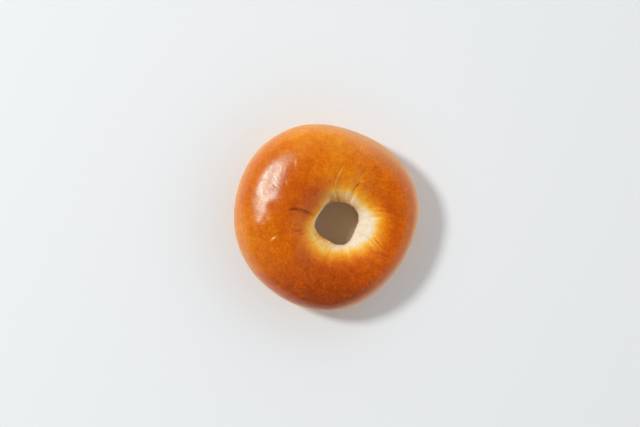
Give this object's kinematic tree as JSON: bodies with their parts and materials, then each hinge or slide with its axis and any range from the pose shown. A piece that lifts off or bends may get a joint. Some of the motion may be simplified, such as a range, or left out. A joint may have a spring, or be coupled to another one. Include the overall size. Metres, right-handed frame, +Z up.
{
  "type": "bagel",
  "caption": "Plain bagel: an uneven ring of boiled and baked dough with a glossy browned crust, a pale collar round an off-centre hole, and a flat underside.",
  "frame": {"origin": "on the surface the bagel rests on, under the middle of its bounding box", "axes": "+Z up through the hole, away from the flat underside; +X towards the thin side of the ring, which is the right of the picture, and +Y towards the top of the picture"},
  "size_m": [0.1, 0.101, 0.0372],
  "materials": {
    "crust": "satin"
  },
  "bodies": {
    "root": {"bagel": "crust"}
  },
  "joints": []
}
